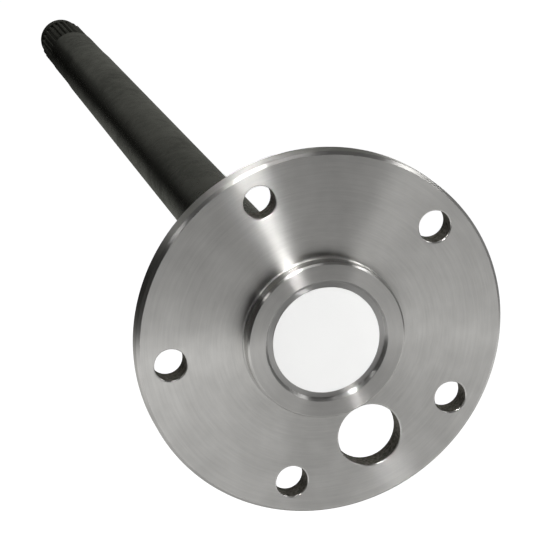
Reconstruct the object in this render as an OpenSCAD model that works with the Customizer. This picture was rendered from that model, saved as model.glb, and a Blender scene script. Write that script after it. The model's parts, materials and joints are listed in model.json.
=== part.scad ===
// Semi-floating rear axle shaft: one forging with a wheel flange, a tapered shaft and a splined inner end.
// The axle lies along Y. The wheel face is the plane y = 0 and looks along -Y, the shaft runs towards +Y.

/* [Wheel flange] */
// Thickness of the flange, from the wheel face to its back
flange_t = 9.2; // [8:0.1:13]
// Metal between the stud circle and the flange's rim
rim_margin = 12.7; // [10:0.1:18]
// Chamfer on both corners of the flange's rim
rim_chamfer = 1.2; // [0.4:0.1:2]

/* [Stud holes] */
// Number of wheel studs
stud_count = 5; // [4:1:6]
// Diameter of the stud circle
stud_pcd = 120.65; // [112:0.05:140]
// Diameter of a stud hole
stud_hole_d = 12.7; // [11:0.1:15]
// Chamfer at both mouths of a stud hole
stud_chamfer = 0.3; // [0.2:0.1:1]
// Angle of the first stud hole about the axis, from +X towards +Z
stud_clock = 42.5; // [0:0.5:72]

/* [Access hole] */
// Diameter of the hole that lets a socket reach the fasteners behind the flange
access_d = 25.4; // [20:0.1:28]
// Land between the pilot's fillet and the access hole
access_land = 2; // [0.5:0.1:4]
// Chamfer at both mouths of the access hole
access_chamfer = 0.3; // [0.2:0.1:0.8]
// The access hole lies half a pitch after this stud hole, counted from the first
access_after_stud = 3; // [0:1:5]

/* [Wheel pilot] */
// Diameter of the raised pilot that centres the wheel
pilot_d = 62.6; // [58:0.1:66]
// Height of the pilot above the wheel face
pilot_h = 6.5; // [5:0.1:10]
// Chamfer on the pilot's front corner
pilot_chamfer = 0.7; // [0.3:0.1:1.2]
// Fillet where the pilot meets the wheel face
pilot_fillet = 0.8; // [0.4:0.1:1.5]

/* [Pilot recess and label] */
// Diameter of the recess at the pilot's front
recess_d = 48.8; // [40:0.1:52]
// Depth of the recess
recess_depth = 1.5; // [0.8:0.1:3]
// Inward slope of the recess wall over that depth
recess_draft = 1; // [0.4:0.1:2]
// Bare floor around the round label
label_margin = 2.2; // [0.5:0.1:5]
// Thickness of the label
label_t = 0.25; // [0.1:0.05:0.5]

/* [Journal] */
// Diameter of the root behind the flange
root_d = 43; // [40:0.1:50]
// Length of the root behind the flange, up to its shoulder
root_len = 17; // [13:0.1:24]
// Fillet between the flange's back and the root
root_fillet = 8; // [3:0.1:10]
// Diameter of the journal for the bearing and the seal
journal_d = 35.5; // [33:0.1:38]
// Length of the journal
journal_len = 52; // [30:0.5:60]
// Length of the cone from the journal to the shaft
journal_cone = 10; // [5:0.5:20]

/* [Shaft] */
// Length from the wheel face to the inner end
axle_len = 642; // [560:0.5:760]
// Diameter of the shaft at the journal's cone
shaft_outer_d = 31.8; // [30.5:0.1:32.5]
// Diameter of the shaft before the neck
shaft_inner_d = 30; // [29.6:0.1:30.4]
// Diameter of the turned neck before the spline
neck_d = 29.2; // [29:0.1:29.6]
// Length of the neck
neck_len = 46; // [20:0.5:70]
// Length of the cone from the shaft to the neck
neck_cone = 18; // [5:0.5:30]

/* [Spline] */
// Number of spline teeth
spline_teeth = 26; // [22:1:30]
// Pitch diameter, where tooth and space are equally wide
spline_pitch_d = 27.5; // [27:0.05:27.8]
// Diameter over the teeth
spline_outer_d = 28.6; // [28.2:0.1:28.9]
// Diameter at the roots of the teeth
spline_root_d = 25.6; // [25:0.1:26]
// Pressure angle of the teeth
spline_angle = 30; // [28:0.5:34]
// Length from the neck's shoulder to the inner end
spline_len = 57; // [40:0.5:85]
// Length over which the tooth spaces run out
spline_runout = 5; // [2:0.5:8]
// Plain land between the neck's shoulder and the run-out
spline_land = 1.5; // [0.5:0.1:4]

/* [Clip groove and centre] */
// Thickness of the button that holds the retaining clip
button_t = 9; // [5:0.5:12]
// Diameter of the button, which passes through the side gear's teeth
button_d = 26.2; // [25.5:0.1:26.4]
// Chamfer on the button's end
button_chamfer = 1.5; // [0.5:0.1:2]
// Width of the clip's groove
clip_w = 6; // [3:0.1:8]
// Diameter at the bottom of the groove
clip_d = 21.6; // [18:0.1:24]
// Diameter of the lathe centre's drilled pilot
centre_pilot_d = 4; // [2:0.1:5]
// Diameter of the lathe centre at its mouth
centre_mouth_d = 9; // [6:0.1:12]
// Angle of the lathe centre's cone
centre_angle = 60; // [60:30:90]
// Length of the drilled pilot past the cone
centre_pilot_len = 5; // [2:0.5:10]

/* [Hidden] */
$fn = 128;
machined_steel = [0.62, 0.61, 0.59];
label_white = [0.95, 0.95, 0.94];
// How far a cutting tool runs past the face that it leaves by
over = 1;

flange_r = stud_pcd / 2 + rim_margin;
stud_pitch = 360 / stud_count;
pilot_r = pilot_d / 2;
access_centre_r = pilot_r + pilot_fillet + access_land + access_d / 2;
access_clock = stud_clock + (access_after_stud + 0.5) * stud_pitch;

recess_r = recess_d / 2;
recess_floor_r = recess_r - recess_draft;
recess_floor_y = -pilot_h + recess_depth;
label_r = recess_floor_r - label_margin;

root_r = root_d / 2;
journal_r = journal_d / 2;
root_end = flange_t + root_len;
journal_start = root_end + root_r - journal_r;
journal_end = journal_start + journal_len;
shaft_start = journal_end + journal_cone;

spline_r = spline_outer_d / 2;
neck_r = neck_d / 2;
spline_start = axle_len - spline_len;
neck_start = spline_start - neck_len;
shaft_end = neck_start - neck_cone;
// The neck's shoulder falls to the spline at 45 degrees
shoulder_end = spline_start + neck_r - spline_r;
button_r = button_d / 2;
button_start = axle_len - button_t;
clip_start = button_start - clip_w;

// Metal that fills an inside corner with an arc: the corner is at (r, y), the metal at -x and dir * y
module corner_fillet(r, y, size, dir) {
    translate([r, y])
        difference() {
            translate([-over, dir > 0 ? -size : -over])
                square([size + over, size + over]);
            translate([size, -dir * size])
                circle(r = size);
        }
}

// Half section of the whole forging, with the radius along x and the axle's length along y
module half_section() {
    polygon([
        [0, recess_floor_y],
        [recess_floor_r, recess_floor_y],
        [recess_r, -pilot_h],
        [pilot_r - pilot_chamfer, -pilot_h],
        [pilot_r, -pilot_h + pilot_chamfer],
        [pilot_r, 0],
        [flange_r - rim_chamfer, 0],
        [flange_r, rim_chamfer],
        [flange_r, flange_t - rim_chamfer],
        [flange_r - rim_chamfer, flange_t],
        [root_r, flange_t],
        [root_r, root_end],
        [journal_r, journal_start],
        [journal_r, journal_end],
        [shaft_outer_d / 2, shaft_start],
        [shaft_inner_d / 2, shaft_end],
        [neck_r, neck_start],
        [neck_r, spline_start],
        [spline_r, shoulder_end],
        [spline_r, clip_start],
        [clip_d / 2, clip_start],
        [clip_d / 2, button_start],
        [button_r, button_start],
        [button_r, axle_len - button_chamfer],
        [button_r - button_chamfer, axle_len],
        [0, axle_len],
    ]);
    corner_fillet(pilot_r, 0, pilot_fillet, 1);
    corner_fillet(root_r, flange_t, root_fillet, -1);
}

// Turns a shape that was drawn about z so that it lies about the axle's y axis
module about_axle() {
    rotate([-90, 0, 0]) children();
}

// Places a shape drawn along z at an angle and a distance from the axle
module at_clock(angle, distance) {
    rotate([0, -angle, 0])
        translate([distance, 0, 0])
            about_axle() children();
}

// A straight hole through the flange with a chamfer at each mouth
module flange_hole(d, chamfer) {
    mouth_r = d / 2 + chamfer + over;
    translate([0, 0, -over])
        cylinder(d = d, h = flange_t + 2 * over);
    translate([0, 0, -over])
        cylinder(r1 = mouth_r, r2 = d / 2, h = chamfer + over);
    translate([0, 0, flange_t - chamfer])
        cylinder(r1 = d / 2, r2 = mouth_r, h = chamfer + over);
}

module stud_holes() {
    for (i = [0 : stud_count - 1])
        at_clock(stud_clock + i * stud_pitch, stud_pcd / 2)
            flange_hole(stud_hole_d, stud_chamfer);
}

module access_hole() {
    at_clock(access_clock, access_centre_r)
        flange_hole(access_d, access_chamfer);
}

// The spaces between the teeth: straight flanks at the pressure angle, a round floor and a run-out
// towards the neck. They end inside the clip's groove, so that the button stays plain.
module spline_spaces() {
    half_space = PI * spline_pitch_d / spline_teeth / 4;
    apex_r = spline_pitch_d / 2 - half_space / tan(spline_angle);
    top_r = spline_r + over;
    top_half = (top_r - apex_r) * tan(spline_angle);
    runout_end = shoulder_end + spline_land;
    floor_start = runout_end + spline_runout;
    floor_r = spline_root_d / 2;
    runout_slope = spline_runout / (spline_r - floor_r);
    spaces_end = clip_start + clip_w / 2;
    intersection() {
        for (i = [0 : spline_teeth - 1])
            rotate(i * 360 / spline_teeth)
                translate([0, 0, spline_start])
                    linear_extrude(spaces_end - spline_start)
                        polygon([[apex_r, 0], [top_r, -top_half], [top_r, top_half]]);
        rotate_extrude()
            polygon([
                [floor_r, floor_start],
                [floor_r, axle_len],
                [top_r + over, axle_len],
                [top_r + over, floor_start - (top_r + over - floor_r) * runout_slope],
            ]);
    }
}

// The lathe centre in the inner end
module centre_hole() {
    mouth_r = centre_mouth_d / 2;
    pilot_hole_r = centre_pilot_d / 2;
    cone_h = (mouth_r - pilot_hole_r) / tan(centre_angle / 2);
    translate([0, 0, axle_len - cone_h])
        cylinder(r1 = pilot_hole_r, r2 = mouth_r, h = cone_h);
    translate([0, 0, axle_len - cone_h - centre_pilot_len])
        cylinder(r = pilot_hole_r, h = cone_h + centre_pilot_len);
}

module axle_shaft() {
    color(machined_steel)
        difference() {
            about_axle() rotate_extrude() half_section();
            stud_holes();
            access_hole();
            about_axle() spline_spaces();
            about_axle() centre_hole();
        }
}

// The round white label on the recess floor
module hub_label() {
    color(label_white)
        translate([0, recess_floor_y - label_t, 0])
            about_axle() cylinder(r = label_r, h = label_t);
}

axle_shaft();
hub_label();
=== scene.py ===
"""Looks of a forged rear axle shaft: turned wheel flange, blackened shaft, splined inner end."""

import json
import logging
import math
from dataclasses import dataclass
from enum import Enum

import bmesh
import bpy
from mathutils import Matrix, Vector


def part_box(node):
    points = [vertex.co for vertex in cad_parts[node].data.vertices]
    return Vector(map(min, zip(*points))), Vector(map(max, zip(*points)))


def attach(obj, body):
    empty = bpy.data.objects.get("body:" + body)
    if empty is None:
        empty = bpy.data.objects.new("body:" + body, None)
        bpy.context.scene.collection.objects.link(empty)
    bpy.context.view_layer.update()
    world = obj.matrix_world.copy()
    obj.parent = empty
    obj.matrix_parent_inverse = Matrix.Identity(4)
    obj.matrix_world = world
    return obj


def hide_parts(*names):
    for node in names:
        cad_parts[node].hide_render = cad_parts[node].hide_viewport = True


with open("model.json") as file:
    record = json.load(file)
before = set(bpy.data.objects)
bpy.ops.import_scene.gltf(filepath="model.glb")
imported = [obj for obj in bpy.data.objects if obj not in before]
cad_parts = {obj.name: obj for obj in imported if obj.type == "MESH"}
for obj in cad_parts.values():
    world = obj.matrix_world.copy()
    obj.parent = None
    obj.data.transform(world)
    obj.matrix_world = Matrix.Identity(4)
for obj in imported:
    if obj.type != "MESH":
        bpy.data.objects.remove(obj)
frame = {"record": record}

Colour = tuple[float, float, float]
Point2 = tuple[float, float]
Point3 = tuple[float, float, float]
Material = bpy.types.Material
Node = bpy.types.Node
Piece = bpy.types.Object
Socket = bpy.types.NodeSocket

MM = 0.001
LOG = logging.getLogger("axle_shaft")
ALONG_AXLE = (0.0, 1.0, 0.0)
ACROSS_AXLE = (1.0, 0.0, 1.0)
MID_SHAFT = (0.0, 0.32, 0.0)
# A highlight on turned steel is stretched a quarter turn from its grooves
ACROSS_GROOVES = 0.25
# Points that lie closer than this are one point
DOUBLED_WITHIN = 0.001 * MM


class Finish(Enum):
    """The finishes that the axle and its label leave the works with; the recess, fillet corner, drilled hole,
    spline and tooth-space colours also carry painted shade or painted light.
    """

    TURNED = "turned_flange_steel"
    RIM = "rough_turned_rim_steel"
    RIM_CORNER = "turned_rim_corner_steel"
    PILOT = "turned_pilot_steel"
    FINE = "fine_turned_pilot_steel"
    RECESS = "turned_recess_steel"
    CORNER = "tool_nose_corner_steel"
    DRILLED = "drilled_hole_steel"
    MOUTH = "broken_edge_steel"
    BLACKENED = "blackened_shaft_steel"
    NECK = "blackened_neck_steel"
    SPLINED = "blackened_spline_steel"
    HOBBED = "blackened_tooth_space_steel"
    GROUND = "ground_journal_steel"
    FILM = "label_white_film"


def mount(name: str) -> dict:
    """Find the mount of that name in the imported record."""
    return next(m for m in frame["record"]["mounts"] if m["name"] == name)


class Nodes:
    """A node tree with short calls for the nodes that shaders and shapes share."""

    def __init__(self, tree: bpy.types.NodeTree) -> None:
        """Keep the tree that the calls add to."""
        self.tree = tree

    def add(self, kind: str, settings: dict[str, object] | None = None, **inputs: object) -> Node:
        """Add one node and feed its inputs.

        Args:
            kind: The node's type.
            settings: Node properties to set first.
            inputs: Sockets or constants by input name, with spaces written as underscores.

        Returns:
            The new node.
        """
        node = self.tree.nodes.new(kind)
        for key, value in (settings or {}).items():
            setattr(node, key, value)
        for key, value in inputs.items():
            self.feed(node.inputs[key.replace("_", " ")], value)
        return node

    def feed(self, socket: Socket, value: object) -> None:
        """Link an input or set its constant.

        Args:
            socket: The input socket.
            value: An output socket or a constant.
        """
        if isinstance(value, Socket):
            self.tree.links.new(value, socket)
        else:
            socket.default_value = value

    def operate(self, kind: str, operation: str, *values: object) -> Node:
        """Add a node that works on its inputs in order.

        Args:
            kind: The node's type.
            operation: What it does.
            values: Sockets or constants, as many as the operation takes.

        Returns:
            The new node.
        """
        node = self.add(kind, {"operation": operation})
        for socket, value in zip(node.inputs, values):
            self.feed(socket, value)
        return node

    def math(self, operation: str, *values: object) -> Socket:
        """Combine numbers into a number."""
        return self.operate("ShaderNodeMath", operation, *values).outputs[0]

    def vector(self, operation: str, *values: object) -> Socket:
        """Combine vectors into a vector."""
        return self.operate("ShaderNodeVectorMath", operation, *values).outputs["Vector"]

    def measure(self, operation: str, *values: object) -> Socket:
        """Combine vectors into a number."""
        return self.operate("ShaderNodeVectorMath", operation, *values).outputs["Value"]

    def along(self, place: Socket) -> Socket:
        """Give a point's place along the axle."""
        return self.add("ShaderNodeSeparateXYZ", Vector=place).outputs["Y"]

    def off_axle(self, place: Socket) -> Socket:
        """Give the part of a point's vector that lies across the axle."""
        return self.vector("MULTIPLY", place, ACROSS_AXLE)

    def radius(self, place: Socket) -> Socket:
        """Give a point's distance from the axle's axis."""
        return self.measure("LENGTH", self.off_axle(place))


class ShaderGraph(Nodes):
    """A material's or the world's tree, with short calls for the nodes that the finishes share."""

    # Where a Mix node keeps its two colours and their mixture, behind its numbers and vectors
    MIX_COLOURS = (6, 7)
    MIXTURE = 2

    def __init__(self, owner: Material | bpy.types.World) -> None:
        """Start an empty tree.

        Args:
            owner: The material or the world that the tree belongs to.
        """
        owner.use_nodes = True
        super().__init__(owner.node_tree)
        self.tree.nodes.clear()
        self.owner = owner
        kind = "World" if isinstance(owner, bpy.types.World) else "Material"
        self.output = self.add(f"ShaderNodeOutput{kind}")

    def weigh(self, *shares: tuple[Socket, float]) -> Socket:
        """Add patterns up by their shares.

        Args:
            shares: Pairs of a pattern's socket and its share.

        Returns:
            The sum's socket.
        """
        total: object = 0.0
        for pattern, share in shares:
            total = self.math("MULTIPLY_ADD", pattern, share, total)
        return total

    def span(self, value: Socket, source: Point2, target: Point2, smooth: bool = False) -> Socket:
        """Map a range of numbers to another one.

        Args:
            value: The number to map.
            source: The range that it lies in.
            target: The range that it is mapped to.
            smooth: Whether the map eases at both ends.

        Returns:
            The mapped number's socket.
        """
        node = self.add("ShaderNodeMapRange", {"interpolation_type": "SMOOTHSTEP" if smooth else "LINEAR"},
                        Value=value, From_Min=source[0], From_Max=source[1], To_Min=target[0],
                        To_Max=target[1])
        return node.outputs["Result"]

    def swing(self, pattern: Socket, middle: float = 0.5, by: float = 0.5, reach: float = 0.2) -> Socket:
        """Map a pattern that reaches so far either side of one half to a swing about a middle."""
        return self.span(pattern, (0.5 - reach, 0.5 + reach), (middle - by, middle + by))

    def noise(self, place: Socket, cell: float, detail: float = 3.0) -> Socket:
        """Add a noise pattern.

        Args:
            place: The vector, or for a pattern in one dimension the number, that it is read at.
            cell: Size of a cell, in metres.
            detail: Number of finer octaves.

        Returns:
            The pattern's value socket.
        """
        dimensions, at = ("1D", "W") if place.type == "VALUE" else ("3D", "Vector")
        node = self.add("ShaderNodeTexNoise", {"noise_dimensions": dimensions}, Scale=1.0 / cell,
                        Detail=detail, **{at: place})
        return node.outputs["Fac"]

    def blend(self, factor: Socket, first: object, second: object) -> Socket:
        """Mix two colours.

        Args:
            factor: Share of the second colour.
            first: A socket or a colour.
            second: A socket or a colour.

        Returns:
            The mixed colour's socket.
        """
        node = self.add("ShaderNodeMix", {"data_type": "RGBA"}, Factor=factor)
        for index, value in zip(self.MIX_COLOURS, (first, second)):
            self.feed(node.inputs[index], value if isinstance(value, Socket) else (*value, 1.0))
        return node.outputs[self.MIXTURE]

    def bump(self, height: Socket, depth: float, under: Socket | None = None) -> Socket:
        """Turn a height into a normal.

        Args:
            height: The height's socket, from 0 to 1.
            depth: Height of a full step, in metres.
            under: The normal of a coarser bump that this one lies on.

        Returns:
            The normal's socket.
        """
        node = self.add("ShaderNodeBump", Distance=depth, Height=height)
        if under is not None:
            self.feed(node.inputs["Normal"], under)
        return node.outputs["Normal"]

    def surface(self, **inputs: object) -> Material:
        """Close the tree with a Principled shader that has these inputs."""
        return self.close(self.add("ShaderNodeBsdfPrincipled", **inputs))

    def close(self, shader: Node) -> Material:
        """Send a shader to the output and give the material."""
        self.feed(self.output.inputs["Surface"], shader.outputs[0])
        return self.owner

    def object_place(self) -> Socket:
        """Give the surface point in the part's own frame."""
        return self.add("ShaderNodeTexCoord").outputs["Object"]

    def around(self, place: Socket) -> Socket:
        """Give the direction round the axle at a point."""
        return self.vector("CROSS_PRODUCT", ALONG_AXLE, self.off_axle(place))

    def seen_directly(self) -> Socket:
        """Tell rays that show the background from rays that only light the part.

        Returns:
            A socket that is 1 for camera, glossy and transmission rays.
        """
        path = self.add("ShaderNodeLightPath").outputs
        shown = self.math("MAXIMUM", path["Is Camera Ray"], path["Is Glossy Ray"])
        return self.math("MAXIMUM", shown, path["Is Transmission Ray"])


def new_graph(name: str) -> ShaderGraph:
    """Start a new material's tree."""
    return ShaderGraph(bpy.data.materials.new(name))


@dataclass(frozen=True)
class TurnedSteel:
    """Steel left by a lathe tool: rings of fine grooves that stretch highlights across them."""

    finish: Finish
    bright: Colour = (0.622, 0.614, 0.593)
    dull: Colour = (0.529, 0.522, 0.504)
    roughness: float = 0.30
    roughness_swing: float = 0.012
    anisotropy: float = 1.0
    ring_pitch: float = 1.6 * MM
    ring_share: float = 0.2
    scratch_pitch: float = 0.55 * MM
    scratches_round: float = 7.0
    scratch_share: float = 0.3
    cloud: float = 11.0 * MM
    cloud_share: float = 0.5
    tone_reach: float = 0.15
    groove_pitch: float = 0.45 * MM
    groove_depth: float = 0.0012 * MM

    def build(self) -> Material:
        """Make the material.

        Returns:
            The finished material.
        """
        graph = new_graph(self.finish.value)
        place = graph.object_place()
        around = graph.around(place)
        track = graph.math("ADD", graph.radius(place), graph.along(place))
        rings = graph.noise(track, self.ring_pitch)
        grooves = graph.noise(track, self.groove_pitch, detail=1.0)
        step = graph.add("ShaderNodeCombineXYZ", Y=graph.math("MULTIPLY", track, 1.0 / self.scratch_pitch))
        spread = graph.vector("MULTIPLY", graph.vector("NORMALIZE", around), (self.scratches_round,) * 3)
        scratches = graph.noise(graph.vector("ADD", spread, step.outputs[0]), cell=1.0, detail=2.0)
        cloud = graph.noise(place, self.cloud, detail=4.0)
        tone = graph.weigh((rings, self.ring_share), (scratches, self.scratch_share),
                           (cloud, self.cloud_share))
        return graph.surface(
            Base_Color=graph.blend(graph.swing(tone, reach=self.tone_reach), self.dull, self.bright),
            Metallic=1.0,
            Roughness=graph.swing(tone, self.roughness, -self.roughness_swing, self.tone_reach),
            Anisotropic=self.anisotropy,
            Anisotropic_Rotation=ACROSS_GROOVES,
            Tangent=around,
            Normal=graph.bump(grooves, self.groove_depth),
        )


@dataclass(frozen=True)
class DrilledSteel:
    """Bare steel inside a drilled or bored hole, duller than the turned faces and coloured darker: painted
    shade inside the hole.
    """

    finish: Finish
    # Both colours are far darker than bare steel: painted shade inside the holes. The swing between them is
    # random tone.
    colour: Colour = (0.36, 0.335, 0.305)
    shade: Colour = (0.085, 0.079, 0.070)
    roughness: float = 0.55
    roughness_swing: float = 0.06
    feed: float = 0.5 * MM
    feed_depth: float = 0.006 * MM
    feed_share: float = 0.35
    tear: float = 1.1 * MM
    tear_share: float = 0.65
    tone_reach: float = 0.14

    def build(self) -> Material:
        """Make the material.

        Returns:
            The finished material.
        """
        graph = new_graph(self.finish.value)
        place = graph.object_place()
        feed_marks = graph.noise(graph.along(place), self.feed, detail=2.0)
        tears = graph.noise(place, self.tear)
        tone = graph.weigh((feed_marks, self.feed_share), (tears, self.tear_share))
        return graph.surface(
            Base_Color=graph.blend(graph.swing(tone, reach=self.tone_reach), self.shade, self.colour),
            Metallic=1.0,
            Roughness=graph.swing(feed_marks, self.roughness, self.roughness_swing),
            Normal=graph.bump(feed_marks, self.feed_depth),
        )


@dataclass(frozen=True)
class BlackenedSteel:
    """Forged steel under a thin black oxide coat: olive black, dull, mottled and a little uneven."""

    finish: Finish
    colour: Colour = (0.018, 0.018, 0.0155)
    worn: Colour = (0.036, 0.0355, 0.0305)
    sheen_tint: Colour = (0.98, 1.0, 0.86)
    roughness: float = 0.27
    roughness_swing: float = 0.08
    specular: float = 0.22
    patch: float = 30.0 * MM
    patch_share: float = 0.4
    mottle: float = 4.5 * MM
    mottle_share: float = 0.35
    grain: float = 1.2 * MM
    grain_share: float = 0.25
    coat_reach: float = 0.12
    forged_depth: float = 0.16 * MM
    mottle_depth: float = 0.014 * MM
    grain_depth: float = 0.010 * MM

    def build(self) -> Material:
        """Make the material.

        Returns:
            The finished material.
        """
        graph = new_graph(self.finish.value)
        place = graph.object_place()
        patches = graph.noise(place, self.patch, detail=4.0)
        mottle = graph.noise(place, self.mottle)
        grain = graph.noise(place, self.grain, detail=2.0)
        coat = graph.weigh((patches, self.patch_share), (mottle, self.mottle_share),
                           (grain, self.grain_share))
        forged = graph.bump(patches, self.forged_depth)
        mottled = graph.bump(mottle, self.mottle_depth, forged)
        return graph.surface(
            Base_Color=graph.blend(graph.swing(coat, reach=self.coat_reach), self.colour, self.worn),
            Roughness=graph.swing(coat, self.roughness, -self.roughness_swing, self.coat_reach),
            Specular_IOR_Level=self.specular,
            Specular_Tint=(*self.sheen_tint, 1.0),
            Normal=graph.bump(grain, self.grain_depth, mottled),
        )


@dataclass(frozen=True)
class GroundSteel:
    """The bearing journal's ground surface: smooth, bright, with very fine rings."""

    finish: Finish
    colour: Colour = (0.60, 0.60, 0.59)
    shade: Colour = (0.528, 0.528, 0.5192)
    cloud: float = 16.667 * MM
    roughness: float = 0.24
    roughness_swing: float = 0.05
    line_pitch: float = 0.625 * MM
    anisotropy: float = 0.6

    def build(self) -> Material:
        """Make the material.

        Returns:
            The finished material.
        """
        graph = new_graph(self.finish.value)
        place = graph.object_place()
        lines = graph.noise(graph.along(place), self.line_pitch)
        return graph.surface(
            Base_Color=graph.blend(graph.noise(place, self.cloud), self.shade, self.colour),
            Metallic=1.0,
            Roughness=graph.swing(lines, self.roughness, self.roughness_swing),
            Anisotropic=self.anisotropy,
            Anisotropic_Rotation=ACROSS_GROOVES,
            Tangent=graph.around(place),
        )


@dataclass(frozen=True)
class WhiteFilm:
    """The label's white film: soft sheen, faint unevenness where it is pressed on the steel."""

    finish: Finish
    colour: Colour = (0.93, 0.93, 0.92)
    shade: Colour = (0.90675, 0.90675, 0.897)
    cloud: float = 14.286 * MM
    cloud_depth: float = 0.02 * MM
    roughness: float = 0.42
    roughness_swing: float = 0.05
    grain: float = 0.3846 * MM
    specular: float = 0.35

    def build(self) -> Material:
        """Make the material.

        Returns:
            The finished material.
        """
        graph = new_graph(self.finish.value)
        place = graph.object_place()
        cloud = graph.noise(place, self.cloud, detail=2.0)
        grain = graph.noise(place, self.grain, detail=2.0)
        return graph.surface(
            Base_Color=graph.blend(cloud, self.shade, self.colour),
            Roughness=graph.swing(grain, self.roughness, self.roughness_swing),
            Specular_IOR_Level=self.specular,
            Normal=graph.bump(cloud, self.cloud_depth),
        )


def add_shape(shape: bmesh.types.BMesh, name: str) -> Piece:
    """Turn a worked shape into an object at the origin, with its faces turned outwards.

    Args:
        shape: The worked shape. It is freed.
        name: The object's name.

    Returns:
        The new object.
    """
    bmesh.ops.recalc_face_normals(shape, faces=shape.faces)
    mesh = bpy.data.meshes.new(name)
    shape.to_mesh(mesh)
    shape.free()
    made = bpy.data.objects.new(name, mesh)
    bpy.context.scene.collection.objects.link(made)
    return made


def settle(piece: Piece) -> None:
    """Give an object the mesh that its modifiers make, and clear them.

    Args:
        piece: The object.
    """
    graph = bpy.context.evaluated_depsgraph_get()
    blank = piece.data
    piece.data = bpy.data.meshes.new_from_object(piece.evaluated_get(graph), preserve_all_data_layers=True,
                                                 depsgraph=graph)
    piece.modifiers.clear()
    bpy.data.meshes.remove(blank)
    piece.data.name = piece.name


@dataclass(frozen=True)
class Corner:
    """One corner of a turned section: radius, place along the axis and edge rounding, in metres."""

    radius: float
    along: float
    rounding: float = 0.0


class TurnedSection:
    """A half section about the Y axis that is swept into a closed body."""

    ARC_STEP = math.radians(18.0)
    LONGEST_RUN = 20.0 * MM
    MOST_SHARE = 0.48
    ON_AXIS = 1e-9

    def __init__(self, corners: list[Corner]) -> None:
        """Keep the corners, in order from one end on the axis to the other."""
        self.corners = corners

    def outline(self) -> list[Point2]:
        """Round the corners and divide the long runs.

        Returns:
            Points of the section, as radius and place along the axis.
        """
        rounded: list[Vector] = []
        places = [Vector((corner.radius, corner.along)) for corner in self.corners]
        for index, corner in enumerate(self.corners):
            if 0 < index < len(places) - 1 and corner.rounding > 0:
                rounded += self.arc(*places[index - 1:index + 2], corner.rounding)
            else:
                rounded.append(places[index])
        points = [rounded[0]]
        for at in rounded[1:]:
            start = points[-1]
            pieces = max(1, math.ceil((at - start).length / self.LONGEST_RUN))
            points += [start.lerp(at, (k + 1) / pieces) for k in range(pieces)]
        return [(p.x, p.y) for p in points]

    def arc(self, before: Vector, at: Vector, after: Vector, rounding: float) -> list[Vector]:
        """Replace one corner by an arc that is tangent to both its sides.

        Args:
            before: The corner before it.
            at: The corner.
            after: The corner after it.
            rounding: The arc's radius, made smaller where a side is too short.

        Returns:
            The arc's points.
        """
        back, ahead = before - at, after - at
        half = back.angle(ahead) / 2
        setback = min(rounding / math.tan(half), self.MOST_SHARE * min(back.length, ahead.length))
        first = at + back.normalized() * setback
        last = at + ahead.normalized() * setback
        bisector = (back.normalized() + ahead.normalized()).normalized()
        centre = at + bisector * (setback / math.cos(half))
        sweep = math.pi - 2 * half
        steps = max(2, math.ceil(sweep / self.ARC_STEP))
        start, end = first - centre, last - centre
        side = 1.0 if start.x * end.y - start.y * end.x > 0 else -1.0
        return [centre + Matrix.Rotation(side * sweep * k / steps, 2) @ start for k in range(steps + 1)]

    def sweep(self, name: str, sides: int) -> Piece:
        """Turn the section round the Y axis.

        Args:
            name: The new object's name.
            sides: Number of facets round the axis.

        Returns:
            The closed body.
        """
        shape = bmesh.new()
        rings: list[list[bmesh.types.BMVert]] = []
        turns = [math.tau * k / sides for k in range(sides)]
        circle = [(math.cos(turn), math.sin(turn)) for turn in turns]
        for radius, along in self.outline():
            if radius < self.ON_AXIS:
                rings.append([shape.verts.new((0.0, along, 0.0))])
                continue
            rings.append([shape.verts.new((radius * x, along, radius * z)) for x, z in circle])
        for ring, following in zip(rings, rings[1:]):
            for k in range(sides):
                corners = [ring[k % len(ring)], ring[(k + 1) % len(ring)],
                           following[(k + 1) % len(following)], following[k % len(following)]]
                shape.faces.new(list(dict.fromkeys(corners)))
        return add_shape(shape, name)


class NodeGroup(Nodes):
    """A Geometry Nodes tree that is built in the script, with named inputs."""

    def __init__(self, name: str, inputs: dict[str, str]) -> None:
        """Start a tree that takes and gives a mesh.

        Args:
            name: The tree's name.
            inputs: Socket types by input name, besides the mesh itself.
        """
        super().__init__(bpy.data.node_groups.new(name, "GeometryNodeTree"))
        face = self.tree.interface
        face.new_socket("Blank", in_out="INPUT", socket_type="NodeSocketGeometry")
        self.names = {key: face.new_socket(key, in_out="INPUT", socket_type=f"NodeSocket{kind}").identifier
                      for key, kind in inputs.items()}
        face.new_socket("Piece", in_out="OUTPUT", socket_type="NodeSocketGeometry")
        self.source = self.add("NodeGroupInput")
        self.result = self.add("NodeGroupOutput")

    def compare(self, operation: str, value: Socket, limit: Socket) -> Socket:
        """Compare a number with a limit."""
        return self.operate("FunctionNodeCompare", operation, value, limit).outputs[0]

    def apply(self, target: Piece, **values: object) -> None:
        """Put the tree on an object.

        Args:
            target: The object to change.
            values: Inputs by name, with spaces written as underscores.
        """
        modifier = target.modifiers.new(self.tree.name, "NODES")
        modifier.node_group = self.tree
        for key, value in values.items():
            modifier[self.names[key.replace("_", " ")]] = value


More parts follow.
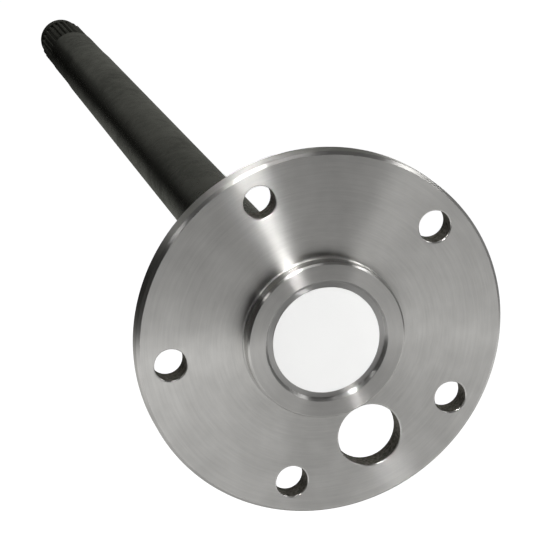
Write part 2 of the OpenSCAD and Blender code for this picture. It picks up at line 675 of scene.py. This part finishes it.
def ring_cut_group() -> NodeGroup:
    """Build the tree that cuts one shape out of a blank at even turns about the Y axis.

    Returns:
        The tree.
    """
    group = NodeGroup("ring_cut", {"Cutter": "Object", "Count": "Int", "First turn": "Float",
                                   "Wall finish": "Material"})
    given = group.source.outputs
    seats = group.add("GeometryNodeMeshLine", Count=given["Count"], Offset=(0.0, 0.0, 0.0))
    pitch = group.math("DIVIDE", math.tau, given["Count"])
    seat_number = group.add("GeometryNodeInputIndex").outputs[0]
    turn = group.math("MULTIPLY_ADD", seat_number, pitch, given["First turn"])
    about_axle = group.add("ShaderNodeCombineXYZ", Y=turn)
    cutter = group.add("GeometryNodeObjectInfo", {"transform_space": "ORIGINAL"}, Object=given["Cutter"])
    placed = group.add("GeometryNodeInstanceOnPoints", Points=seats.outputs["Mesh"],
                       Instance=cutter.outputs["Geometry"], Rotation=about_axle.outputs[0])
    cutters = group.add("GeometryNodeRealizeInstances", Geometry=placed.outputs[0])
    marked = group.add("GeometryNodeStoreNamedAttribute", {"data_type": "BOOLEAN", "domain": "FACE"},
                       Geometry=cutters.outputs[0], Name="cut_wall", Value=True)
    cut = group.add("GeometryNodeMeshBoolean", {"operation": "DIFFERENCE", "solver": "MANIFOLD"},
                    Mesh_1=given["Blank"], Mesh_2=marked.outputs[0])
    whole = group.add("GeometryNodeRealizeInstances", Geometry=cut.outputs["Mesh"])
    joined = group.add("GeometryNodeMergeByDistance", Geometry=whole.outputs[0], Distance=DOUBLED_WITHIN)
    wall = group.add("GeometryNodeInputNamedAttribute", {"data_type": "BOOLEAN"}, Name="cut_wall")
    faced = group.add("GeometryNodeSetMaterial", Geometry=joined.outputs[0],
                      Selection=wall.outputs["Attribute"], Material=given["Wall finish"])
    clean = group.add("GeometryNodeRemoveAttribute", Geometry=faced.outputs[0], Name="cut_wall")
    group.feed(group.result.inputs["Piece"], clean.outputs[0])
    return group


def dressing_group() -> NodeGroup:
    """Build the tree that gives one turned zone its finish and marks the sharp edges.

    Returns:
        The tree.
    """
    limits = dict.fromkeys(("From", "To", "Inside", "Outside", "Sharp from"), "Float")
    group = NodeGroup("dress_zone", {**limits, "Surface finish": "Material"})
    given = group.source.outputs
    whole = group.add("GeometryNodeRealizeInstances", Geometry=given["Blank"])
    soft = group.add("GeometryNodeSetShadeSmooth", {"domain": "FACE"}, Geometry=whole.outputs[0])
    angle = group.add("GeometryNodeInputMeshEdgeAngle").outputs["Unsigned Angle"]
    edged = group.add("GeometryNodeSetShadeSmooth", {"domain": "EDGE"}, Geometry=soft.outputs[0],
                      Selection=group.compare("GREATER_THAN", angle, given["Sharp from"]), Shade_Smooth=False)
    place = group.add("GeometryNodeInputPosition").outputs[0]
    along, radius = group.along(place), group.radius(place)
    chosen = group.compare("GREATER_THAN", along, given["From"])
    for operation, value, limit in (("LESS_THAN", along, "To"), ("GREATER_THAN", radius, "Inside"),
                                    ("LESS_THAN", radius, "Outside")):
        side = group.compare(operation, value, given[limit])
        chosen = group.operate("FunctionNodeBooleanMath", "AND", chosen, side).outputs[0]
    dressed = group.add("GeometryNodeSetMaterial", Geometry=edged.outputs[0], Selection=chosen,
                        Material=given["Surface finish"])
    group.feed(group.result.inputs["Piece"], dressed.outputs[0])
    return group


@dataclass(frozen=True)
class Zone:
    """A stretch along the axis between two radii, in metres, and the finish that it gets."""

    start: float
    stop: float
    inside: float
    outside: float
    finish: Finish


@dataclass(frozen=True)
class RingCut:
    """A cutter, how often it cuts round the axle, the turn of its first cut, and its walls' finish."""

    cutter: Piece
    count: int
    first_turn: float
    wall: Finish


@dataclass
class AxleForging:
    """The axle itself: flange, pilot, root, journal, shaft, spline and clip button in one piece."""

    flange_t: float = 9.2 * MM
    rim_chamfer: float = 1.2 * MM
    pilot_chamfer: float = 0.7 * MM
    pilot_fillet: float = 0.8 * MM
    recess_r: float = 24.4 * MM
    recess_depth: float = 1.5 * MM
    recess_draft: float = 1.0 * MM
    hole_chamfer: float = 0.3 * MM
    stud_clock: float = math.radians(42.5)
    root_r: float = 21.5 * MM
    root_len: float = 17.0 * MM
    root_fillet: float = 8.0 * MM
    journal_cone: float = 10.0 * MM
    shaft_outer_r: float = 15.9 * MM
    shaft_inner_r: float = 15.0 * MM
    neck_r: float = 14.6 * MM
    neck_len: float = 46.0 * MM
    neck_cone: float = 18.0 * MM
    spline_teeth: int = 26
    spline_pitch_r: float = 13.75 * MM
    spline_outer_r: float = 14.3 * MM
    spline_root_r: float = 12.8 * MM
    spline_angle: float = math.radians(30.0)
    spline_len: float = 57.0 * MM
    spline_runout: float = 5.0 * MM
    spline_land: float = 1.5 * MM
    button_t: float = 9.0 * MM
    button_r: float = 13.1 * MM
    button_chamfer: float = 1.5 * MM
    clip_w: float = 6.0 * MM
    clip_r: float = 10.8 * MM
    centre_pilot_r: float = 2.0 * MM
    centre_mouth_r: float = 4.5 * MM
    centre_half_angle: float = math.radians(30.0)
    centre_pilot_len: float = 5.0 * MM
    edge: float = 0.25 * MM
    inner_edge: float = 0.5 * MM
    journal_edge: float = 0.75 * MM
    cone_blend: float = 10.0 * MM
    neck_blend: float = 40.0 * MM
    mouth_soft_share: float = 0.35
    mouth_slope: float = math.radians(20.0)
    drill_over: float = 2.0 * MM
    drill_sides: int = 96
    brow: float = 0.12 * MM
    brow_slope: float = 0.6
    hob_over: float = 1.2 * MM
    runout_lift: float = 0.15
    crest_depth: float = 0.2 * MM
    coat_margin: float = 0.6 * MM
    fillet_share: float = 0.3
    hair: float = 0.004 * MM
    crisp_from: float = math.radians(32.0)
    sides: int = 288

    def __post_init__(self) -> None:
        """Take the sizes that the frame and the record state."""
        low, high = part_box("axle_shaft")
        self.flange_r = max(high.x, high.z, -low.x, -low.z)
        self.tip = high.y
        self.front = low.y
        studs, access, journal, pilot = (
            mount(name) for name in ("wheel_studs", "access_hole", "bearing_journal", "wheel_pilot"))
        self.stud_count = studs["dims"]["count"]
        self.stud_circle_r = studs["dims"]["pcd_mm"] / 2 * MM
        self.stud_hole_r = studs["dims"]["hole_r_mm"] * MM
        self.access_r = access["dims"]["r_mm"] * MM
        self.access_circle_r = math.hypot(access["pos_m"][0], access["pos_m"][2])
        self.access_clock = math.atan2(access["pos_m"][2], access["pos_m"][0])
        self.pilot_r = pilot["dims"]["r_mm"] * MM
        self.journal_r = journal["dims"]["r_mm"] * MM
        half_journal = journal["dims"]["length_mm"] / 2 * MM
        self.journal_from = journal["pos_m"][1] - half_journal
        self.journal_to = journal["pos_m"][1] + half_journal
        self.spline_from = self.tip - self.spline_len
        self.neck_from = self.spline_from - self.neck_len
        self.shaft_to = self.neck_from - self.neck_cone
        self.recess_floor = self.front + self.recess_depth
        self.clip_to = self.tip - self.button_t
        self.clip_from = self.clip_to - self.clip_w

    def section(self) -> TurnedSection:
        """Describe the turned blank.

        Returns:
            The half section, from the recess floor out and back to the lathe centre.
        """
        edge = self.edge
        shoulder = self.neck_r - self.spline_outer_r
        cone_depth = (self.centre_mouth_r - self.centre_pilot_r) / math.tan(self.centre_half_angle)
        centre_to = self.tip - cone_depth - self.centre_pilot_len
        return TurnedSection([
            Corner(0.0, self.recess_floor),
            Corner(self.recess_r - self.recess_draft, self.recess_floor, self.inner_edge),
            Corner(self.recess_r, self.front, edge),
            Corner(self.pilot_r - self.pilot_chamfer, self.front, edge),
            Corner(self.pilot_r, self.front + self.pilot_chamfer, edge),
            Corner(self.pilot_r, 0.0, self.pilot_fillet),
            Corner(self.flange_r - self.rim_chamfer, 0.0, edge),
            Corner(self.flange_r, self.rim_chamfer, edge),
            Corner(self.flange_r, self.flange_t - self.rim_chamfer, edge),
            Corner(self.flange_r - self.rim_chamfer, self.flange_t, edge),
            Corner(self.root_r, self.flange_t, self.root_fillet),
            Corner(self.root_r, self.flange_t + self.root_len, self.journal_edge),
            Corner(self.journal_r, self.journal_from, self.journal_edge),
            Corner(self.journal_r, self.journal_to, self.journal_edge),
            Corner(self.shaft_outer_r, self.journal_to + self.journal_cone, self.cone_blend),
            Corner(self.shaft_inner_r, self.shaft_to, self.neck_blend),
            Corner(self.neck_r, self.neck_from, self.neck_blend),
            Corner(self.neck_r, self.spline_from, edge),
            Corner(self.spline_outer_r, self.spline_from + shoulder, edge),
            Corner(self.spline_outer_r, self.clip_from, edge),
            Corner(self.clip_r, self.clip_from, self.inner_edge),
            Corner(self.clip_r, self.clip_to, self.inner_edge),
            Corner(self.button_r, self.clip_to, edge),
            Corner(self.button_r, self.tip - self.button_chamfer, edge),
            Corner(self.button_r - self.button_chamfer, self.tip, edge),
            Corner(self.centre_mouth_r, self.tip, edge),
            Corner(self.centre_pilot_r, self.tip - cone_depth, edge),
            Corner(self.centre_pilot_r, centre_to),
            Corner(0.0, centre_to),
        ])

    def hole_cutter(self, name: str, radius: float, away: float) -> Piece:
        """Make the drill for one hole, with chamfered and softened mouths.

        Args:
            name: The drill's name.
            radius: The hole's radius.
            away: The hole's distance from the axle's axis, along +X.

        Returns:
            The drill.
        """
        chamfer = self.hole_chamfer
        mouth = radius + chamfer
        soft = self.mouth_soft_share * chamfer
        half = [
            Corner(0.0, -self.drill_over),
            Corner(mouth + (soft + self.drill_over) / math.tan(self.mouth_slope), -self.drill_over),
            Corner(mouth - soft, soft),
            Corner(radius, chamfer, soft),
        ]
        other = [Corner(c.radius, self.flange_t - c.along, c.rounding) for c in reversed(half)]
        drill = TurnedSection(half + other).sweep(name, self.drill_sides)
        drill.data.transform(Matrix.Translation((away, 0.0, 0.0)))
        return drill

    def half_space(self, radius: float) -> float:
        """Give half a tooth space's width at a radius."""
        at_pitch = math.pi * self.spline_pitch_r / (2 * self.spline_teeth)
        return at_pitch + (radius - self.spline_pitch_r) * math.tan(self.spline_angle)

    def space_cutter(self) -> Piece:
        """Make the cutter for one tooth space, with sloping flanks, a rounded brow and a run-out.

        Returns:
            The cutter.
        """
        crest = self.spline_outer_r
        full_from = self.spline_from + self.neck_r - crest + self.spline_land + self.spline_runout
        lifted = full_from - self.spline_runout * (1 + self.runout_lift)
        floors = (
            (self.clip_to - self.clip_w / 2, self.spline_root_r),
            (full_from, self.spline_root_r),
            (lifted, crest + self.runout_lift * (crest - self.spline_root_r)),
        )
        top = crest + self.hob_over
        top_half = self.half_space(top) + (top - crest + self.brow) * self.brow_slope
        shape = bmesh.new()
        loops = []
        for along, floor in floors:
            brow = max(floor + DOUBLED_WITHIN, crest - self.brow)
            side = [(floor, self.half_space(floor)), (brow, self.half_space(brow)), (top, top_half)]
            outline = [(r, -w) for r, w in side] + [(r, w) for r, w in reversed(side)]
            loops.append([shape.verts.new((r, along, w)) for r, w in outline])
        for ring, following in zip(loops, loops[1:]):
            for k in range(len(ring)):
                after = (k + 1) % len(ring)
                shape.faces.new((ring[k], ring[after], following[after], following[k]))
        shape.faces.new(loops[0])
        shape.faces.new(loops[-1])
        return add_shape(shape, "tooth_hob")

    @staticmethod
    def finishes() -> dict[Finish, Material]:
        """Make the axle's finishes.

        Returns:
            The materials by finish.
        """
        recipes = (
            TurnedSteel(Finish.TURNED),
            TurnedSteel(Finish.RIM, roughness=0.39),
            TurnedSteel(Finish.RIM_CORNER, roughness=0.35, groove_depth=0.0),
            TurnedSteel(Finish.PILOT, bright=(0.517, 0.509, 0.492), dull=(0.468, 0.461, 0.445),
                        roughness=0.31),
            TurnedSteel(Finish.FINE, roughness=0.22),
            # The recess colours are darker than the turned face's: painted shade in the recess.
            TurnedSteel(Finish.RECESS, bright=(0.42, 0.415, 0.405), dull=(0.38, 0.375, 0.365), roughness=0.34,
                        groove_depth=0.0),
            # The corner colours are darker than the turned face's: painted shade in the fillet at the pilot's
            # foot. Its rougher, less stretched gloss is the tool nose's own.
            TurnedSteel(Finish.CORNER, bright=(0.48, 0.473, 0.458), dull=(0.44, 0.433, 0.42), roughness=0.36,
                        anisotropy=0.2),
            TurnedSteel(Finish.MOUTH, roughness=0.28, anisotropy=0.0, groove_depth=0.0),
            DrilledSteel(Finish.DRILLED),
            BlackenedSteel(Finish.BLACKENED),
            BlackenedSteel(Finish.NECK, specular=0.12),
            # The spline colours are darker than the coat's: painted shade of the tooth spaces, laid over the
            # crests, the clip groove and the button.
            BlackenedSteel(Finish.SPLINED, colour=(0.014, 0.014, 0.012), worn=(0.024, 0.0236, 0.0205),
                           roughness=0.5, specular=0.16),
            # The tooth-space colours are lighter than the coat's: painted light that evens out the shade in
            # the tooth spaces.
            BlackenedSteel(Finish.HOBBED, colour=(0.03, 0.03, 0.0258), worn=(0.042, 0.0413, 0.036),
                           roughness=0.5, specular=0.3),
            GroundSteel(Finish.GROUND),
        )
        return {recipe.finish: recipe.build() for recipe in recipes}

    def zones(self) -> list[Zone]:
        """Say which finish each turned zone has, where it isn't the flange's own.

        Returns:
            The zones, in the order that they are dressed.
        """
        hair = self.hair
        # Every face lies between these two radii
        axis, far = -MM, 2 * self.flange_r
        wall_from, wall_to = self.front + self.pilot_chamfer, -self.pilot_fillet
        land_from, land_to = self.pilot_r + self.pilot_fillet, self.flange_r - self.rim_chamfer
        fillet_from = self.pilot_r + self.fillet_share * self.pilot_fillet
        crest_from = self.spline_outer_r - self.crest_depth
        back = self.flange_t
        return [
            Zone(back + self.coat_margin, self.spline_from, axis, far, Finish.BLACKENED),
            Zone(self.shaft_to, self.spline_from, axis, far, Finish.NECK),
            Zone(self.spline_from, self.clip_from, crest_from, far, Finish.SPLINED),
            Zone(self.clip_from - hair, self.tip + hair, axis, far, Finish.SPLINED),
            Zone(self.journal_from, self.journal_to, axis, far, Finish.GROUND),
            Zone(self.front, back + hair, land_to, far, Finish.RIM),
            Zone(self.front, self.rim_chamfer, land_to, far, Finish.RIM_CORNER),
            Zone(-far, self.front + hair, self.recess_r, self.pilot_r - self.pilot_chamfer, Finish.PILOT),
            Zone(wall_from, wall_to, self.pilot_r - hair, self.pilot_r + hair, Finish.FINE),
            Zone(wall_to, -hair, fillet_from, land_from, Finish.CORNER),
            Zone(self.front + hair, 0.0, axis, self.recess_r, Finish.RECESS),
            Zone(hair, self.hole_chamfer, land_from, land_to, Finish.MOUTH),
            Zone(back - self.hole_chamfer, back - hair, land_from, land_to, Finish.MOUTH),
        ]

    def cuts(self) -> list[RingCut]:
        """Make the cutters and say where they cut.

        Returns:
            The cuts, in the order that they are made.
        """
        studs = self.hole_cutter("stud_drill", self.stud_hole_r, self.stud_circle_r)
        access = self.hole_cutter("access_drill", self.access_r, self.access_circle_r)
        return [
            RingCut(studs, self.stud_count, -self.stud_clock, Finish.DRILLED),
            RingCut(access, 1, -self.access_clock, Finish.DRILLED),
            RingCut(self.space_cutter(), self.spline_teeth, 0.0, Finish.HOBBED),
        ]

    def build(self) -> Piece:
        """Turn the blank, cut its holes and teeth, and dress each zone.

        Returns:
            The finished piece.
        """
        finishes = self.finishes()
        piece = self.section().sweep("axle_forging", self.sides)
        piece.data.materials.append(finishes[Finish.TURNED])
        ring_cut = ring_cut_group()
        cuts = self.cuts()
        for cut in cuts:
            ring_cut.apply(piece, Cutter=cut.cutter, Count=cut.count, First_turn=cut.first_turn,
                           Wall_finish=finishes[cut.wall])
        dressing = dressing_group()
        for zone in self.zones():
            dressing.apply(piece, From=zone.start, To=zone.stop, Inside=zone.inside, Outside=zone.outside,
                           Sharp_from=self.crisp_from, Surface_finish=finishes[zone.finish])
        weighted = piece.modifiers.new("face_weighted", "WEIGHTED_NORMAL")
        weighted.mode = "FACE_AREA"
        weighted.keep_sharp = True
        settle(piece)
        for cut in cuts:
            bpy.data.objects.remove(cut.cutter)
        return piece


@dataclass
class HubLabel:
    """The plain round label in the pilot's recess."""

    edge: float = 0.08 * MM
    crisp_from: float = math.radians(35.0)
    sides: int = 160

    def build(self) -> Piece:
        """Cut the label and lay it on the recess floor.

        Returns:
            The finished piece.
        """
        low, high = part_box("hub_label")
        radius = max(high.x, high.z)
        section = TurnedSection([
            Corner(0.0, low.y),
            Corner(radius, low.y, self.edge),
            Corner(radius, high.y),
            Corner(0.0, high.y),
        ])
        piece = section.sweep("label_film", self.sides)
        piece.data.materials.append(WhiteFilm(Finish.FILM).build())
        piece.data.shade_smooth()
        piece.data.set_sharp_from_angle(angle=self.crisp_from)
        return piece


@dataclass(frozen=True)
class Panel:
    """A round pale panel in the tent: its direction, its even and its faded half angle, and its level."""

    towards: Point3
    inner: float
    outer: float
    level: float


@dataclass(frozen=True)
class Fade:
    """A soft change between two levels, from a start over a width that may run downwards."""

    start: float
    width: float
    before: float = 0.0
    after: float = 1.0

    def level(self, graph: ShaderGraph, value: Socket) -> Socket:
        """Give the level at a value."""
        return graph.span(value, (self.start, self.start + self.width), (self.before, self.after), True)


@dataclass(frozen=True)
class SoftBox:
    """A lamp: its place, width and height in metres, power, the point that it faces, and its grid's angle.

    One that fills lights the dull film and coat. The others show only as glints.
    """

    name: str
    place: Point3
    size: Point2
    watts: float
    aim: Point3 = (0.0, 0.0, 0.0)
    spread: float = math.pi
    fills: bool = False

    def hang(self) -> None:
        """Hang the lamp in the scene."""
        data = bpy.data.lights.new(self.name, "AREA")
        data.shape = "RECTANGLE"
        data.size, data.size_y = self.size
        data.energy = self.watts
        data.spread = self.spread
        lamp = bpy.data.objects.new(self.name, data)
        lamp.location = self.place
        lamp.rotation_euler = (Vector(self.aim) - Vector(self.place)).to_track_quat("-Z", "Y").to_euler()
        lamp.visible_camera = False
        lamp.visible_glossy = not self.fills
        lamp.visible_diffuse = self.fills
        bpy.context.scene.collection.objects.link(lamp)


@dataclass
class Tent:
    """The grey tent that only the steel's reflections see, shaded by direction from the hub."""

    radius: float = 0.9
    band: Fade = Fade(-0.16, -0.22, 0.02, 1.03)
    ground: Fade = Fade(-0.50, -0.12, 1.0, 0.6602)
    nadir: Fade = Fade(-0.80, -0.15, 1.0, 0.75)
    ceiling: Fade = Fade(0.5, 0.3, 0.0, 0.12)
    panels: tuple[Panel, ...] = (
        Panel((0.744, -0.649, 0.161), math.radians(18.0), math.radians(25.0), 0.52),
        Panel((0.88, 0.47, 0.0), math.radians(14.0), math.radians(28.0), 0.45),
    )
    behind: Fade = Fade(0.45, 0.16)
    back_greys: tuple[Point2, ...] = (
        (0.0, 0.18), (60.0, 0.22), (125.0, 0.21), (150.0, 0.15), (172.0, 0.04), (185.0, 0.0), (204.0, 0.03),
        (220.0, 0.19), (250.0, 0.24), (310.0, 0.22))
    back_tint: Colour = (0.98, 1.0, 0.89)
    notch_turn: float = math.radians(216.0)
    notch: Fade = Fade(0.26, 0.24)
    strip: Fade = Fade(0.09, 0.10, 1.0, 0.0)

    def __post_init__(self) -> None:
        """Start the cloth's tree with the direction that a point of it lies in."""
        self.graph = new_graph("tent_cloth")
        self.towards = self.graph.vector("NORMALIZE", self.graph.object_place())
        self.parts = self.graph.add("ShaderNodeSeparateXYZ", Vector=self.towards).outputs

    def front(self) -> Socket:
        """Shade what hangs before the part: a pale low band under a dark upper half, and the panels.

        Returns:
            The grey.
        """
        graph, height = self.graph, self.parts["Z"]
        low = graph.math("MULTIPLY", self.ground.level(graph, height), self.nadir.level(graph, height))
        grey = graph.math("MULTIPLY_ADD", self.band.level(graph, height), low,
                          self.ceiling.level(graph, height))
        for panel in self.panels:
            facing = graph.measure("DOT_PRODUCT", self.towards, panel.towards)
            edge = math.cos(panel.outer), math.cos(panel.inner)
            grey = graph.math("ADD", grey, graph.span(facing, edge, (0.0, panel.level), True))
        return grey

    def back(self) -> Socket:
        """Shade what hangs behind the part: greys that change round the axle, with a dark notch.

        Returns:
            The colour.
        """
        graph = self.graph
        turn = graph.math("DIVIDE", graph.math("ARCTAN2", self.parts["Z"], self.parts["X"]), math.tau)
        ring = graph.add("ShaderNodeValToRGB", Fac=graph.math("FRACT", graph.math("ADD", turn, 1.0)))
        stops = ring.color_ramp.elements
        while len(stops) < len(self.back_greys):
            stops.new(0.5)
        for stop, (degrees, grey) in zip(stops, self.back_greys):
            stop.position = degrees / 360.0
            stop.color = (*(grey * c for c in self.back_tint), 1.0)
        middle = (math.cos(self.notch_turn), 0.0, math.sin(self.notch_turn))
        aside = graph.vector("NORMALIZE", graph.off_axle(self.towards))
        facing = graph.measure("DOT_PRODUCT", aside, middle)
        shut = graph.math("MULTIPLY", self.notch.level(graph, facing),
                          self.strip.level(graph, graph.radius(self.towards)))
        return graph.blend(shut, ring.outputs["Color"], (0.0, 0.0, 0.0))

    def build(self) -> None:
        """Hang the tent."""
        graph = self.graph
        grey = graph.blend(self.behind.level(graph, self.parts["Y"]), self.front(), self.back())
        cloth = graph.close(graph.add("ShaderNodeEmission", Color=grey))
        cloth.cycles.emission_sampling = "NONE"
        shape = bmesh.new()
        bmesh.ops.create_uvsphere(shape, u_segments=48, v_segments=32, radius=self.radius)
        tent = add_shape(shape, "studio_tent")
        tent.data.materials.append(cloth)
        for ray in ("camera", "diffuse", "transmission", "shadow", "volume_scatter"):
            setattr(tent, f"visible_{ray}", False)


@dataclass
class Studio:
    """Floor, white surround, tent and lamps round the part."""

    floor_z: float = -0.95
    floor_half: float = 12.0
    floor_glow: float = 0.95
    paper: Colour = (0.85, 0.85, 0.85)
    ambient: float = 0.10
    boxes: tuple[SoftBox, ...] = (
        SoftBox("key_box", (-0.108, -0.334, 0.3565), (0.043, 0.15), 0.042, aim=(-0.002, 0.0, 0.0395),
                spread=math.radians(22.7)),
        SoftBox("top_box", (-0.025, -0.09, 0.49), (0.2, 0.2), 0.17),
        SoftBox("side_box", (0.363, -0.23, 0.2556), (0.06, 0.15), 0.18),
        SoftBox("rim_box", (0.355, -0.085, 0.34), (0.24, 0.08), 0.24),
        SoftBox("left_box", (-0.3985, -0.125, 0.274), (0.03, 0.07), 0.105),
        SoftBox("front_fill", (0.42, -1.26, 0.14), (1.2, 1.2), 18.3, fills=True),
        SoftBox("shaft_fill", (0.675, 0.845, 1.23), (1.0, 1.0), 15.5, aim=MID_SHAFT, fills=True),
        SoftBox("under_fill", (0.765, 1.07, -0.93), (1.0, 1.0), 12.0, aim=MID_SHAFT, fills=True),
    )

    def floor(self) -> None:
        """Lay the pale floor, which shows as white paper and keeps the part's shadow."""
        shape = bmesh.new()
        bmesh.ops.create_grid(shape, x_segments=1, y_segments=1, size=self.floor_half,
                              matrix=Matrix.Translation((0.0, 0.0, self.floor_z)))
        floor = add_shape(shape, "studio_floor")
        graph = new_graph("studio_paper")
        glow = graph.math("MULTIPLY", graph.seen_directly(), self.floor_glow)
        both = graph.add("ShaderNodeAddShader")
        graph.feed(both.inputs[0], graph.add("ShaderNodeBsdfDiffuse", Color=(*self.paper, 1.0)).outputs[0])
        graph.feed(both.inputs[1], graph.add("ShaderNodeEmission", Strength=glow).outputs[0])
        floor.data.materials.append(graph.close(both))

    def world(self) -> None:
        """Make the white surround, which lights the part only faintly."""
        world = bpy.data.worlds.new("studio_white")
        bpy.context.scene.world = world
        graph = ShaderGraph(world)
        level = graph.span(graph.seen_directly(), (0.0, 1.0), (self.ambient, 1.0))
        graph.close(graph.add("ShaderNodeBackground", Color=(1.0, 1.0, 1.0, 1.0), Strength=level))

    def build(self) -> None:
        """Set up the whole studio."""
        self.floor()
        self.world()
        Tent().build()
        for box in self.boxes:
            box.hang()


@dataclass(frozen=True)
class PhotoCamera:
    """The camera at the photograph's viewing angle."""

    place: Point3 = (-0.2160, -0.7617, 0.2634)
    forward: Point3 = (0.2360, 0.9286, -0.2862)
    lens: float = 144.66
    sensor: float = 36.0
    nearest: float = 0.01
    farthest: float = 100.0

    def build(self) -> None:
        """Set the camera up."""
        data = bpy.data.cameras.new("photo_camera")
        data.lens = self.lens
        data.sensor_width = self.sensor
        data.dof.use_dof = False
        data.clip_start, data.clip_end = self.nearest, self.farthest
        camera = bpy.data.objects.new("photo_camera", data)
        camera.location = self.place
        camera.rotation_euler = Vector(self.forward).to_track_quat("-Z", "Y").to_euler()
        bpy.context.scene.collection.objects.link(camera)
        bpy.context.scene.camera = camera


def seat(piece: Piece, node: str) -> None:
    """Hand one piece to the frame in place of its plain node.

    Args:
        piece: The finished piece.
        node: The node that it stands for.
    """
    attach(piece, "root")
    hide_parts(node)
    LOG.info("%s stands for %s: %d faces", piece.name, node, len(piece.data.polygons))


def main() -> None:
    """Build the part, the studio and the camera."""
    logging.basicConfig(level=logging.INFO, format="%(name)s: %(message)s")
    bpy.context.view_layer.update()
    bpy.context.scene.view_settings.view_transform = "Standard"
    PhotoCamera().build()
    Studio().build()
    seat(AxleForging().build(), "axle_shaft")
    seat(HubLabel().build(), "hub_label")
    bpy.context.view_layer.update()


if __name__ == "__main__":
    main()
